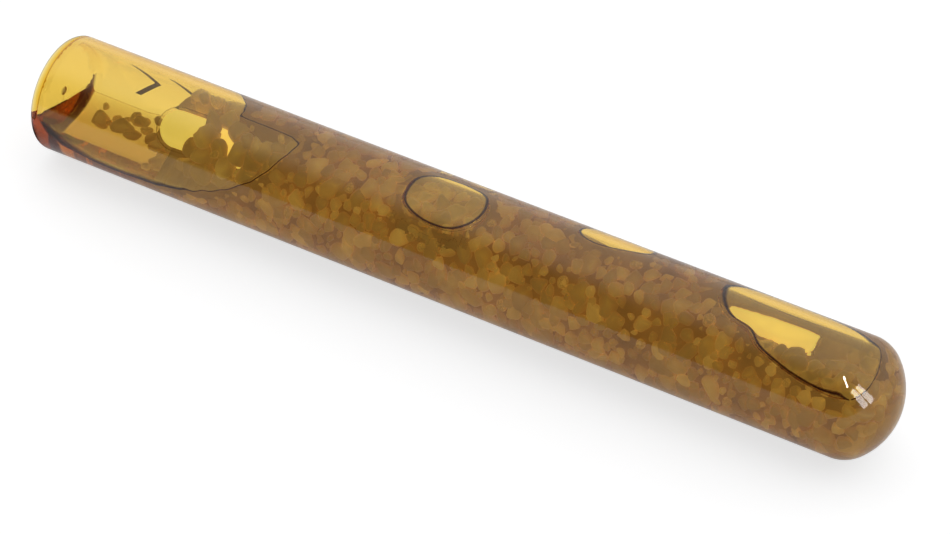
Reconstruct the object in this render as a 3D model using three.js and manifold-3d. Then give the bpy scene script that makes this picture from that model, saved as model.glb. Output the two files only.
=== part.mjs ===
// A sealed glass resin capsule for a chemical anchor, lying on its side.
// Outer glass tube with a dished end and a fused flat end, amber resin with crushed quartz grains,
// air spaces, and a thin inner glass ampoule of hardener powder.
// Millimetres, +Z up. The capsule's axis runs along X, its dished end points to +X,
// and the origin is under the middle of the capsule, on the surface that it lies on.
import * as THREE from 'three';
import { ConvexGeometry } from 'three/addons/geometries/ConvexGeometry.js';
import { mergeVertices } from 'three/addons/utils/BufferGeometryUtils.js';
import Module from 'manifold-3d';

const wasm = await Module();
wasm.setup();

// Outer glass: sizes of the round shape. Facets touch these circles from outside.
const LENGTH = 97;
const OUTER_RADIUS = 6.25;
const WALL = 0.85;
const CROWN_RADIUS = 7.2;
const KNUCKLE_RADIUS = 3.75;
const ROUND_SEGMENTS = 48;
const ARC_STEPS = 5;
const FLAT_END_X = -LENGTH / 2;
const DISHED_END_X = LENGTH / 2;

// Fused flat end, with the dimple where the glass was drawn off.
const END_THICKNESS = 0.85;
const END_CORNER_RADIUS = 1.2;
const END_FILLET_RADIUS = 0.5;
const END_SEAM_FROM_FACE = 2.6;
const PIP_RADIUS = 0.55;
const PIP_DEPTH = 0.45;

// Inner ampoule. It leans: its nose is near the capsule's axis and its tail has floated up to the rear.
const AMPOULE_RADIUS = 2.35;
const AMPOULE_WALL = 0.35;
const AMPOULE_START = FLAT_END_X + 12.5;
const AMPOULE_END = FLAT_END_X + 88;
const AMPOULE_CAP_LENGTH = 0.9;
const AMPOULE_CAP_CORNER = 0.5;
const AMPOULE_NOSE = new THREE.Vector3(AMPOULE_START, 0, 0.6);
const AMPOULE_TAIL = new THREE.Vector3(AMPOULE_END, 2.5, 0.95);
const AMPOULE_SEGMENTS = 24;
const POWDER_END_SPACE = 2.5;

// Gaps between neighbouring solids.
const GLASS_SEAM = 0.06;
const RESIN_GAP = 0.1;
const POWDER_GAP = 0.08;
const GRAIN_TO_GLASS = 0.07;
const POCKET_GAP = 0.12;
const AMPOULE_CLEARANCE = 0.15;

// The resin's free surface at the flat end, seen from the side: [distance from the flat end,
// height over the axis]. It climbs to the top of the glass.
const LIQUID_LINE = [
  [0, -1.6],
  [0.9, -2.4],
  [1.9, -2.85],
  [8.3, -2.95],
  [14.6, -2.4],
  [21.2, -0.38],
  [25.3, 1.67],
  [29.5, 5.6],
  [29.5, 2 * OUTER_RADIUS],
];

// Flattened air bubbles against the glass. The angle is 0 at the front and 90 at the top.
const BUBBLES = [
  { distance: 47.5, angleDeg: 91, halfLength: 4.2, halfWidth: 3.05, depth: 1.7 },
  { distance: 64.5, angleDeg: 127, halfLength: 3.8, halfWidth: 2.3, depth: 1.4 },
  { distance: 80.8, angleDeg: 108, halfLength: 3.9, halfWidth: 2.5, depth: 2.4 },
  { distance: 87.9, angleDeg: 103, halfLength: 6.4, halfWidth: 4.4, depth: 3.3 },
];
const BUBBLE_SEGMENTS = 20;
const BUBBLE_RINGS = 12;

// Quartz grains that lie against the glass.
const BED_GRAIN_COUNT = 39;
const LOOSE_GRAIN_COUNT = 7;
const LOOSE_START = FLAT_END_X + 3.4;
const LOOSE_PITCH = 1.9;
const LOOSE_ANGLES = [226, 240];
const GRAIN_CORNERS = 13;
const GRAIN_FIT_STEPS = 30;
const GRAIN_SIZE_MIN = 1.35;
const GRAIN_SIZE_MAX = 2.15;
const GOLDEN_ANGLE = Math.PI * (3 - Math.sqrt(5));
const BED_START = FLAT_END_X + 18;
const BED_END = DISHED_END_X - 6;
const BED_FIRST_ANGLE = 124;
const RANDOM_SEED = 20260;
const RANDOM_FACTOR = 1664525;
const RANDOM_STEP = 1013904223;
const RANDOM_RANGE = 2 ** 32;

// Printed mark on the outside of the glass, on the rear: chevrons, then a bar.
const MARK_START = FLAT_END_X + 5.6;
const MARK_PITCH = 4.9;
const MARK_STROKE = 0.75;
const MARK_POINT = 2.6;
const MARK_HALF_HEIGHT = 2.6;
const MARK_MIDDLE_ANGLE = THREE.MathUtils.degToRad(175);
const MARK_LIFT = 0.03;
const MARK_THICKNESS = 0.04;
const MARK_STATIONS = 8;
const CHEVRON_COUNT = 3;
const BAR_LENGTH = 4.2;

const INNER_RADIUS = OUTER_RADIUS - WALL;
const RESIN_RADIUS = INNER_RADIUS - RESIN_GAP;
const AXIS_HEIGHT = OUTER_RADIUS;

const material = (color, roughness, extra = {}) =>
  new THREE.MeshStandardMaterial({ color, roughness, metalness: 0, ...extra });
const glassMaterial = material(0xe0a63a, 0.05, { transparent: true, opacity: 0.35 });
const resinMaterial = material(0xa8741c, 0.1, { transparent: true, opacity: 0.55 });
const ampouleMaterial = material(0xf2e3a8, 0.05, { transparent: true, opacity: 0.4 });
const powderMaterial = material(0xe6d56a, 0.8);
const quartzMaterial = material(0xb98e45, 0.45);
const inkMaterial = material(0x4a3226, 0.5);

// A repeatable sequence of numbers from 0 to 1.
function randomSequence(seed) {
  let state = seed;
  return () => {
    state = (state * RANDOM_FACTOR + RANDOM_STEP) % RANDOM_RANGE;
    return state / RANDOM_RANGE;
  };
}

// A round solid about the X axis. The profile is a list of [x, radius].
function turned(profile, segments) {
  const widen = 1 / Math.cos(Math.PI / segments);
  const points = profile.map(([x, radius]) => new THREE.Vector2(radius * widen, x));
  const geometry = new THREE.LatheGeometry(points, segments, Math.PI / segments);
  return geometry.rotateZ(-Math.PI / 2);
}

// Points [x, radius] round an arc; angles in degrees, 0 along +X and 90 outward.
function arc(centreX, centreRadius, radius, startDeg, endDeg, steps) {
  const points = [];
  for (let i = 0; i <= steps; i += 1) {
    const angle = THREE.MathUtils.degToRad(startDeg + ((endDeg - startDeg) * i) / steps);
    points.push([centreX + radius * Math.cos(angle), centreRadius + radius * Math.sin(angle)]);
  }
  return points;
}

// A dished end from the straight wall to the tip: a knuckle arc, then a crown arc.
function dishedEnd(wallRadius, tipX, inset) {
  const knuckle = KNUCKLE_RADIUS - inset;
  const crown = CROWN_RADIUS - inset;
  const offset = wallRadius - knuckle;
  const reach = Math.sqrt((crown - knuckle) ** 2 - offset ** 2);
  const crownX = tipX - crown;
  const meetDeg = THREE.MathUtils.radToDeg(Math.atan2(offset, reach));
  const knucklePoints = arc(crownX + reach, offset, knuckle, 90, meetDeg, ARC_STEPS);
  const crownPoints = arc(crownX, 0, crown, meetDeg, 0, ARC_STEPS).slice(1, -1);
  return [...knucklePoints, ...crownPoints, [tipX, 0]];
}

function toSolid(geometry) {
  const plain = geometry.clone();
  for (const name of ['normal', 'uv']) {
    plain.deleteAttribute(name);
  }
  const merged = mergeVertices(plain, 1e-4);
  const vertProperties = new Float32Array(merged.attributes.position.array);
  const triVerts = new Uint32Array(merged.index.array);
  return new wasm.Manifold(new wasm.Mesh({ numProp: 3, vertProperties, triVerts }));
}

function toGeometry(solid) {
  const mesh = solid.getMesh();
  const geometry = new THREE.BufferGeometry();
  geometry.setAttribute('position', new THREE.Float32BufferAttribute(mesh.vertProperties, 3));
  geometry.setIndex(new THREE.Uint32BufferAttribute(mesh.triVerts, 1));
  return geometry;
}

function outerTubeGeometry() {
  const seamX = FLAT_END_X + END_SEAM_FROM_FACE;
  const outside = dishedEnd(OUTER_RADIUS, DISHED_END_X, 0);
  const inside = dishedEnd(INNER_RADIUS, DISHED_END_X - WALL, WALL).reverse();
  const profile = [...inside, [seamX, INNER_RADIUS], [seamX, OUTER_RADIUS], ...outside];
  return turned(profile, ROUND_SEGMENTS);
}

function endSealGeometry() {
  const seamX = FLAT_END_X + END_SEAM_FROM_FACE - GLASS_SEAM;
  const innerX = FLAT_END_X + END_THICKNESS;
  const cornerX = FLAT_END_X + END_CORNER_RADIUS;
  const filletX = innerX + END_FILLET_RADIUS;
  const cornerRadius = OUTER_RADIUS - END_CORNER_RADIUS;
  const filletRadius = INNER_RADIUS - END_FILLET_RADIUS;
  const profile = [
    [FLAT_END_X + PIP_DEPTH, 0],
    [FLAT_END_X, PIP_RADIUS],
    ...arc(cornerX, cornerRadius, END_CORNER_RADIUS, 180, 90, ARC_STEPS),
    [seamX, OUTER_RADIUS],
    [seamX, INNER_RADIUS],
    ...arc(filletX, filletRadius, END_FILLET_RADIUS, 90, 180, ARC_STEPS),
    [innerX, 0],
  ];
  return turned(profile, ROUND_SEGMENTS);
}

function ampouleTubeGeometry() {
  const mouthX = AMPOULE_END - AMPOULE_CAP_LENGTH;
  const noseX = AMPOULE_START + AMPOULE_RADIUS;
  const innerRadius = AMPOULE_RADIUS - AMPOULE_WALL;
  const outside = arc(noseX, 0, AMPOULE_RADIUS, 180, 90, ARC_STEPS).slice(1);
  const inside = arc(noseX, 0, innerRadius, 90, 180, ARC_STEPS).slice(0, -1);
  const profile = [
    [AMPOULE_START, 0],
    ...outside,
    [mouthX, AMPOULE_RADIUS],
    [mouthX, innerRadius],
    ...inside,
    [AMPOULE_START + AMPOULE_WALL, 0],
  ];
  return turned(profile, AMPOULE_SEGMENTS);
}

function ampouleCapGeometry() {
  const mouthX = AMPOULE_END - AMPOULE_CAP_LENGTH + GLASS_SEAM;
  const corner = AMPOULE_CAP_CORNER;
  const outside = arc(AMPOULE_END - corner, AMPOULE_RADIUS - corner, corner, 90, 0, ARC_STEPS);
  const profile = [[mouthX, 0], [mouthX, AMPOULE_RADIUS], ...outside, [AMPOULE_END, 0]];
  return turned(profile, AMPOULE_SEGMENTS);
}

// Turns and moves the ampoule, which is built along the capsule's axis, into its leaning place.
function ampoulePlacement() {
  const lean = AMPOULE_TAIL.clone().sub(AMPOULE_NOSE).normalize();
  const turn = new THREE.Quaternion().setFromUnitVectors(new THREE.Vector3(1, 0, 0), lean);
  const start = new THREE.Vector3(AMPOULE_START, 0, 0).applyQuaternion(turn);
  const place = AMPOULE_NOSE.clone().sub(start);
  return new THREE.Matrix4().compose(place, turn, new THREE.Vector3(1, 1, 1));
}

function distanceFromAmpouleAxis(point) {
  const axis = new THREE.Line3(AMPOULE_NOSE, AMPOULE_TAIL);
  return axis.closestPointToPoint(point, false, new THREE.Vector3()).distanceTo(point);
}

function powderGeometry() {
  const radius = AMPOULE_RADIUS - AMPOULE_WALL - POWDER_GAP;
  const noseX = AMPOULE_START + AMPOULE_RADIUS;
  const endX = AMPOULE_END - POWDER_END_SPACE;
  const nose = arc(noseX, 0, radius, 180, 90, ARC_STEPS).slice(1);
  return turned([[noseX - radius, 0], ...nose, [endX, radius], [endX, 0]], AMPOULE_SEGMENTS);
}

// The air space at the flat end, above the liquid's level.
function endAirSolid() {
  const shape = new THREE.Shape();
  shape.moveTo(0, 2 * OUTER_RADIUS);
  for (const [distance, height] of LIQUID_LINE) {
    shape.lineTo(distance, height);
  }
  shape.closePath();
  const geometry = new THREE.ExtrudeGeometry(shape, { depth: 4 * OUTER_RADIUS, bevelEnabled: false });
  geometry.rotateX(Math.PI / 2);
  geometry.translate(FLAT_END_X, 2 * OUTER_RADIUS, 0);
  return toSolid(geometry);
}

function bubbleSolid({ distance, angleDeg, halfLength, halfWidth, depth }) {
  const geometry = new THREE.SphereGeometry(1, BUBBLE_SEGMENTS, BUBBLE_RINGS);
  geometry.scale(halfLength, halfWidth, depth);
  geometry.translate(0, 0, RESIN_RADIUS);
  geometry.rotateX(THREE.MathUtils.degToRad(90 - angleDeg));
  geometry.translate(FLAT_END_X + distance, 0, 0);
  return toSolid(geometry);
}

// A crushed grain: the hull of points scattered over a flattened ball.
function grainHull(random) {
  const size = GRAIN_SIZE_MIN + (GRAIN_SIZE_MAX - GRAIN_SIZE_MIN) * random();
  const stretch = new THREE.Vector3(1, 0.75 + 0.25 * random(), 0.65 + 0.25 * random());
  const points = [];
  for (let i = 0; i < GRAIN_CORNERS; i += 1) {
    const height = 1 - (2 * (i + 0.5)) / GRAIN_CORNERS;
    const ring = Math.sqrt(1 - height * height);
    const angle = GOLDEN_ANGLE * i + 0.9 * (random() - 0.5);
    const reach = (size / 2) * (0.88 + 0.2 * random());
    const point = new THREE.Vector3(ring * Math.cos(angle), ring * Math.sin(angle), height);
    points.push(point.multiplyScalar(reach).multiply(stretch));
  }
  const turn = new THREE.Euler(...[1, 2, 3].map(() => 2 * Math.PI * random()));
  return points.map((point) => point.applyEuler(turn));
}

// Moves a grain along the wall's radius until its outermost corner nearly touches the glass.
function grainCentre(points, x, angle) {
  const outward = new THREE.Vector3(0, -Math.cos(angle), Math.sin(angle));
  const target = INNER_RADIUS - GRAIN_TO_GLASS;
  let low = 0;
  let high = target;
  for (let step = 0; step < GRAIN_FIT_STEPS; step += 1) {
    const middle = (low + high) / 2;
    const moved = points.map((point) => point.clone().addScaledVector(outward, middle));
    const reach = Math.max(...moved.map(({ y, z }) => Math.hypot(y, z)));
    if (reach > target) {
      high = middle;
    } else {
      low = middle;
    }
  }
  return outward.multiplyScalar(low).setX(x);
}

// Where each grain lies: a few loose ones near the flat end, the rest spread over the bed's wall.
// An angle is 0 at the front, 90 at the top and 180 at the rear.
function grainPlaces() {
  const places = [];
  for (let i = 0; i < LOOSE_GRAIN_COUNT; i += 1) {
    const angle = THREE.MathUtils.degToRad(LOOSE_ANGLES[i % LOOSE_ANGLES.length]);
    places.push({ x: LOOSE_START + LOOSE_PITCH * i, angle });
  }
  const pitch = (BED_END - BED_START) / (BED_GRAIN_COUNT - 1);
  for (let i = 0; i < BED_GRAIN_COUNT; i += 1) {
    const angle = THREE.MathUtils.degToRad(BED_FIRST_ANGLE) + GOLDEN_ANGLE * i;
    places.push({ x: BED_START + pitch * i, angle });
  }
  return places;
}

// The grains, without those that the leaning ampoule leaves no room for.
function makeGrains() {
  const random = randomSequence(RANDOM_SEED);
  const made = grainPlaces().map(({ x, angle }) => {
    const points = grainHull(random);
    return { points, centre: grainCentre(points, x, angle) };
  });
  return made.filter(({ points, centre }) => {
    const size = Math.max(...points.map((point) => point.length()));
    return distanceFromAmpouleAxis(centre) > AMPOULE_RADIUS + size + AMPOULE_CLEARANCE;
  });
}

// The resin: fills the glass, less the air spaces, the ampoule's channel and the grains' pockets.
function resinGeometry(grains) {
  const startX = FLAT_END_X + END_THICKNESS + RESIN_GAP;
  const fillet = END_FILLET_RADIUS;
  const filletArc = arc(startX + fillet, RESIN_RADIUS - fillet, fillet, 180, 90, ARC_STEPS);
  const dished = dishedEnd(RESIN_RADIUS, DISHED_END_X - WALL - RESIN_GAP, WALL + RESIN_GAP);
  const body = turned([[startX, 0], ...filletArc, ...dished], ROUND_SEGMENTS);
  let solid = toSolid(body).subtract(endAirSolid());
  for (const bubble of BUBBLES) {
    solid = solid.subtract(bubbleSolid(bubble));
  }
  solid = solid.subtract(ampouleChannelSolid());
  for (const grain of grains) {
    solid = solid.subtract(pocketSolid(grain));
  }
  return toGeometry(solid);
}

function ampouleChannelSolid() {
  const radius = AMPOULE_RADIUS + RESIN_GAP;
  const noseX = AMPOULE_START + AMPOULE_RADIUS;
  const endX = AMPOULE_END + RESIN_GAP;
  const nose = arc(noseX, 0, radius, 180, 90, ARC_STEPS).slice(1);
  const profile = [[noseX - radius, 0], ...nose, [endX, radius], [endX, 0]];
  const channel = turned(profile, AMPOULE_SEGMENTS);
  return toSolid(channel.applyMatrix4(ampoulePlacement()));
}

function pocketSolid({ points, centre }) {
  const grown = points.map((p) => p.clone().multiplyScalar(1 + POCKET_GAP / p.length()).add(centre));
  return toSolid(new ConvexGeometry(grown));
}

// A thin printed stroke bent round the glass. edgesAt gives its two X edges at a height on the wall.
function printedGeometry(edgesAt) {
  const inner = OUTER_RADIUS / Math.cos(Math.PI / ROUND_SEGMENTS) + MARK_LIFT;
  const positions = [];
  const indices = [];
  for (let i = 0; i <= MARK_STATIONS; i += 1) {
    const height = MARK_HALF_HEIGHT * ((2 * i) / MARK_STATIONS - 1);
    const angle = MARK_MIDDLE_ANGLE - height / OUTER_RADIUS;
    const [left, right] = edgesAt(height);
    const outer = inner + MARK_THICKNESS;
    for (const [x, radius] of [[left, inner], [right, inner], [right, outer], [left, outer]]) {
      positions.push(x, -radius * Math.cos(angle), radius * Math.sin(angle));
    }
  }
  for (let i = 0; i < MARK_STATIONS; i += 1) {
    for (let side = 0; side < 4; side += 1) {
      const a = 4 * i + side;
      const b = 4 * i + ((side + 1) % 4);
      indices.push(a, b, b + 4, a, b + 4, a + 4);
    }
  }
  const last = 4 * MARK_STATIONS;
  indices.push(0, 2, 1, 0, 3, 2, last, last + 1, last + 2, last, last + 2, last + 3);
  const geometry = new THREE.BufferGeometry();
  geometry.setAttribute('position', new THREE.Float32BufferAttribute(positions, 3));
  geometry.setIndex(indices);
  return geometry;
}

const capsule = new THREE.Group();
capsule.position.z = AXIS_HEIGHT;

function addPiece(parent, name, geometry, pieceMaterial) {
  const mesh = new THREE.Mesh(geometry, pieceMaterial);
  mesh.name = name;
  parent.add(mesh);
  return mesh;
}

addPiece(capsule, 'outer_tube', outerTubeGeometry(), glassMaterial);
addPiece(capsule, 'end_seal', endSealGeometry(), glassMaterial);

const ampoule = new THREE.Group();
ampoule.applyMatrix4(ampoulePlacement());
addPiece(ampoule, 'ampoule_tube', ampouleTubeGeometry(), ampouleMaterial);
addPiece(ampoule, 'ampoule_cap', ampouleCapGeometry(), ampouleMaterial);
addPiece(ampoule, 'hardener_powder', powderGeometry(), powderMaterial);
capsule.add(ampoule);

const grains = makeGrains();
addPiece(capsule, 'resin_fill', resinGeometry(grains), resinMaterial);
grains.forEach(({ points, centre }, i) => {
  const name = `quartz_grain_${String(i + 1).padStart(2, '0')}`;
  const grain = addPiece(capsule, name, new ConvexGeometry(points), quartzMaterial);
  grain.position.copy(centre);
});

for (let i = 0; i < CHEVRON_COUNT; i += 1) {
  const start = MARK_START + MARK_PITCH * i;
  const chevron = printedGeometry((height) => {
    const back = start + MARK_POINT * (1 - Math.abs(height) / MARK_HALF_HEIGHT);
    return [back, back + MARK_STROKE];
  });
  addPiece(capsule, `printed_chevron_${i + 1}`, chevron, inkMaterial);
}
const barStart = MARK_START + MARK_PITCH * CHEVRON_COUNT;
addPiece(capsule, 'printed_bar', printedGeometry(() => [barStart, barStart + BAR_LENGTH]), inkMaterial);

export default capsule;
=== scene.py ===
"""A sealed amber glass resin capsule on a pale floor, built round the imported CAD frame. Metres, Z up."""

import math

import bmesh
import bpy
import numpy as np
from mathutils import Matrix, Vector, noise
from mathutils.bvhtree import BVHTree


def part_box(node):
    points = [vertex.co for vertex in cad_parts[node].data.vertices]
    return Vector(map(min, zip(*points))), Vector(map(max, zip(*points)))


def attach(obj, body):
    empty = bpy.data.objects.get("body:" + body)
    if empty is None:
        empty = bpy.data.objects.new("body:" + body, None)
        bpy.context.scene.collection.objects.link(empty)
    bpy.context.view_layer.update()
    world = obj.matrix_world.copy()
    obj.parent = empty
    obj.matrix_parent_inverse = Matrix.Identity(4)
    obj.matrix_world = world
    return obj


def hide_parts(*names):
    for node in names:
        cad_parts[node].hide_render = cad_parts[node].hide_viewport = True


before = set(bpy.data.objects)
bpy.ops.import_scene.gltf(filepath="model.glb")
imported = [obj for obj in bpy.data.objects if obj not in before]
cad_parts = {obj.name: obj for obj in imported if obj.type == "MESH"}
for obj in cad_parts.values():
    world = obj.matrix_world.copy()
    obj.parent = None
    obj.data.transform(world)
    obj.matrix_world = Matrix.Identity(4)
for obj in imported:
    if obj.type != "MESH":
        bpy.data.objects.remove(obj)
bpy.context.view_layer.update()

# --- Driving dimensions, from the frame -------------------------------------------------
MM = 0.001
TUBE_LOW, TUBE_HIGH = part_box("outer_tube")
FLAT_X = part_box("end_seal")[0].x
TIP_X = TUBE_HIGH.x
OUTER = (TUBE_HIGH.z - TUBE_LOW.z) / 2
AXIS_Z = TUBE_LOW.z + OUTER
WALL = 0.85 * MM
INNER = OUTER - WALL
AMPOULE_R = 2.35 * MM
AMPOULE_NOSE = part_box("ampoule_tube")[0] + Vector((0, AMPOULE_R, AMPOULE_R))
AMPOULE_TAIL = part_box("ampoule_cap")[1] - Vector((0, AMPOULE_R, AMPOULE_R))
AMPOULE_LENGTH = (AMPOULE_TAIL - AMPOULE_NOSE).length
AMPOULE_LEAN = (AMPOULE_TAIL - AMPOULE_NOSE).normalized()

# --- Shape of the glass ------------------------------------------------------------------
CROWN = 7.2 * MM
KNUCKLE = 3.75 * MM
END_THICKNESS = 0.85 * MM
END_CORNER = 1.2 * MM
END_FILLET = 0.5 * MM
PIP_RADIUS = 0.55 * MM
PIP_DEPTH = 0.45 * MM
SEGMENTS = 160
WALL_STEP = 0.4 * MM

# --- Ampoule -----------------------------------------------------------------------------
AMPOULE_WALL = 0.35 * MM
AMPOULE_CORNER = 0.5 * MM
POWDER_END_SPACE = 0.9 * MM
POWDER_SLACK = 0.04 * MM

# --- Liquid resin and its free surfaces --------------------------------------------------
RESIN_GAP = 0.01 * MM
# Widths of the painted dark shade where the free surface meets the wall and where it climbs the flat end.
PAINTED_MENISCUS_SHADE_WIDTH = 0.12 * MM
PAINTED_END_SHADE_WIDTH = 0.9 * MM
# Where the free surface at the flat end meets the glass: (distance from the flat end, height over
# the axis), in mm, along the front wall and along the rear wall. It climbs the end's corner.
FRONT_LEVEL = [(0, 1.3), (0.85, 0.9), (1.7, 0.4), (2.6, -0.4), (3.8, -0.95), (5.5, -1.7), (7.9, -2.3),
               (10.9, -2.4), (14.7, -2.1), (17.5, -1.65), (21.1, -0.55), (24.8, 1.1), (26.9, 2.5),
               (28.6, 4.0), (30.2, 5.6), (31.5, 7.5)]
REAR_LEVEL = [(0, -1.3), (0.85, -1.4), (0.92, -1.9), (1.0, -2.6), (1.2, -2.9), (8.0, -2.95),
              (12.5, -2.3), (15.0, -0.2), (17.0, 2.2), (19.5, 3.9), (22.8, 5.6), (24.5, 7.5),
              (31.5, 16.0)]
POOL_LEVEL = -3.0 * MM
POOL_ENDS = (11, 18)
FRONT_CLIMB_REACH = 1.4 * MM
REAR_CLIMB_REACH = 0.45 * MM
END_CLIMB = 2.0 * MM
END_CLIMB_FALL = 0.22
SURFACE_STEP = 0.3 * MM
FINE_SURFACE_STEP = 0.1 * MM
RIPPLE = 0.22 * MM

# Bubbles: outline on the wall as (distance from the flat end in mm, angle in degrees; 90 is the top),
# and either how deep the bubble is or the height over the axis of its level floor, in mm.
BUBBLES = {
    "middle": dict(level=4.6, outline=[
        (43.0, 84), (43.4, 67), (45.2, 57), (47.5, 54), (49.5, 58), (51.0, 72), (51.3, 90), (50.2, 110),
        (47.5, 117), (44.8, 114), (43.3, 102)]),
    "rear": dict(depth=0.7, outline=[
        (60.7, 120), (61.3, 107), (63.3, 102), (66.0, 108), (68.3, 121), (67.6, 142), (64.6, 150),
        (61.8, 138)]),
    "dished_end": dict(level=2.75, outline=[
        (77.2, 118), (77.4, 101), (78.3, 87), (79.6, 77), (81.7, 72), (83.3, 59), (85.3, 51), (87.4, 45),
        (89.9, 41), (91.7, 41), (93.2, 46), (94.2, 58), (94.3, 75), (93.8, 93), (92.3, 115), (88.5, 132),
        (83.5, 139), (79.2, 134)]),
}
BUBBLE_ROUGHNESS = 0.3 * MM
BUBBLE_WIDEST = 0.3 * MM
BUBBLE_SHOULDER = 0.75 * MM
LID_OVERSHOOT = 0.12 * MM

# --- Quartz grains -----------------------------------------------------------------------
GRAIN_MEAN = 2.0 * MM
GRAIN_FULLNESS = 0.57
GRAIN_SHAPES = 14
# Each pass throws grains of one size: (share of the mean size, least spacing, at the wall only, tries).
GRAIN_PASSES = [(1.0, 1.36 * MM, True, 16000), (0.7, 1.0 * MM, True, 16000), (1.0, 1.3 * MM, False, 30000)]
UNDER_BUBBLE_SPACING = 1.2 * MM
UNDER_BUBBLE_TRIES = 500
BED_SEED = 7
BED_BLOCKS = 4
# Nearer to the flat end than this, in mm, grains lie only here and there along the rear wall.
BED_START = 12.5
# How high the wet grains are heaped: distances from the flat end and heights over the axis, in mm.
HEAP_PLACES = (13.5, 15.5, 17.0, 19.0)
HEAP_HEIGHTS = (-3.0, 0.5, 3.6, 5.4)

# --- Cloudy resin between the grains -----------------------------------------------------
PASTE_DEPTH = 1.0 * MM
PASTE_SPREAD = 2.5 * MM
PASTE_UNDER_AIR = 0.85 * MM
PASTE_START = FLAT_X + 15.0 * MM
PASTE_STEP = 0.3 * MM
PASTE_COLUMNS = 144
PASTE_LEAST_RADIUS = 0.3 * MM
HAZE = (0.38, 0.235, 0.098)
HAZE_DEPTH = 1.1 * MM
HAZE_MOST = 0.7
# Emission of the grains and the cloudy resin: a painted glow standing for light scattered in the cloudy
# resin.
PAINTED_GLOW = 0.42

# --- Values of the mesh attribute "air" --------------------------------------------------
# Over 0 the surface refracts, and at WET it can't be seen. At DRY_PANE, and anywhere under
# PANE_LIMIT, it is a thin plain pane. The dark contact lines, painted shade, stop LINE_OVERLAP into the wet
# side.
WET = -1.0
DRY_PANE = -100.0
PANE_LIMIT = -50.0
LINE_OVERLAP = 0.15 * MM
# The attribute "line" where a surface has no painted dark contact line.
NO_LINE = 0.001 * MM
# How sharp the painted contact lines are, and how soon thin panes darken towards edge-on: both painted
# shade.
LINE_SHARPNESS = 1.4
OUTLINE_POWER = 6.0

# --- Floor and room ----------------------------------------------------------------------
FLOOR_HALF_SIZE = 3.0
FLOOR_GLOW = 0.72
MIRRORED_FLOOR_GLOW = 0.36
ROOM_STRENGTH = 1.05

# --- Camera ------------------------------------------------------------------------------
CAMERA_FROM_AXIS = Vector((158.126, -265.127, 268.265)) * MM
CAMERA_AIM = Vector((1.967, -0.564, -1.690)) * MM
CAMERA_LENS = 155.23

# --- Lamps that show as reflections: name, start, end, width in metres, power in watts ---
WINDOWS = [
    ("narrow_window", (-0.14, -0.30, 0.95), (0.30, -0.52, 0.80), 0.06, 3.0),
    ("left_pane", (0.54, -0.50, 0.74), (1.00, -0.18, 0.04), 0.15, 3.5),
    ("right_pane", (0.66, -0.32, 0.78), (1.10, 0.00, 0.08), 0.15, 3.5),
]


# --- Small helpers -----------------------------------------------------------------------
def link(obj):
    bpy.context.scene.collection.objects.link(obj)
    return obj


def mesh_object(name, verts, faces, smooth=True):
    mesh = bpy.data.meshes.new(name)
    mesh.from_pydata([tuple(v) for v in verts], [], faces)
    mesh.update()
    if smooth:
        mesh.shade_smooth()
    return link(bpy.data.objects.new(name, mesh))


def arc(centre_x, centre_r, radius, start, end, steps):
    """Points (x, r) round an arc, angles in degrees from +X."""
    angles = np.radians(np.linspace(start, end, steps + 1))
    return [(centre_x + radius * math.cos(a), centre_r + radius * math.sin(a)) for a in angles]


def line(x0, r0, x1, r1, step):
    """Points from one (x, r) to another, both ends left out."""
    count = max(1, int(round(math.hypot(x1 - x0, r1 - r0) / step)))
    return [(x0 + (x1 - x0) * i / count, r0 + (r1 - r0) * i / count) for i in range(1, count)]


def dished_end(inset, tip_x, steps):
    """The end from the straight wall to the tip: a knuckle arc, then a crown arc."""
    knuckle, crown = KNUCKLE - inset, CROWN - inset
    offset = OUTER - inset - knuckle
    reach = math.sqrt((crown - knuckle) ** 2 - offset**2)
    crown_x = tip_x - crown
    meet = math.degrees(math.atan2(offset, reach))
    knuckle_arc = arc(crown_x + reach, offset, knuckle, 90, meet, steps)
    crown_arc = arc(crown_x, 0, crown, meet, 0, steps)[1:-1]
    return knuckle_arc + crown_arc + [(tip_x, 0)]


def turned(profile, segments, centre_z=AXIS_Z):
    """Vertices and faces of a solid turned about a line along X. The profile runs from pole to pole."""
    verts, faces, rings = [], [], []
    for x, r in profile:
        if r < 1e-9:
            rings.append([len(verts)] * segments)
            verts.append((x, 0, centre_z))
            continue
        start = len(verts)
        for k in range(segments):
            a = 2 * math.pi * k / segments
            verts.append((x, -r * math.cos(a), centre_z + r * math.sin(a)))
        rings.append(list(range(start, start + segments)))
    for low, high in zip(rings, rings[1:]):
        for k in range(segments):
            n = (k + 1) % segments
            ring = [low[k], high[k], high[n], low[n]]
            unique = list(dict.fromkeys(ring))
            if len(unique) > 2:
                faces.append(unique)
    return verts, faces


def face_outward(obj, inward=False):
    bm = bmesh.new()
    bm.from_mesh(obj.data)
    bmesh.ops.recalc_face_normals(bm, faces=bm.faces)
    if inward:
        bmesh.ops.reverse_faces(bm, faces=bm.faces)
    bm.to_mesh(obj.data)
    bm.free()


# --- Air spaces: the resin's free surfaces ----------------------------------------------
def smoothstep(low, high, value):
    """Rises smoothly from 0 at low to 1 at high; low may be over high."""
    t = min(1.0, max(0.0, (value - low) / (high - low)))
    return t * t * (3 - 2 * t)


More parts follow.
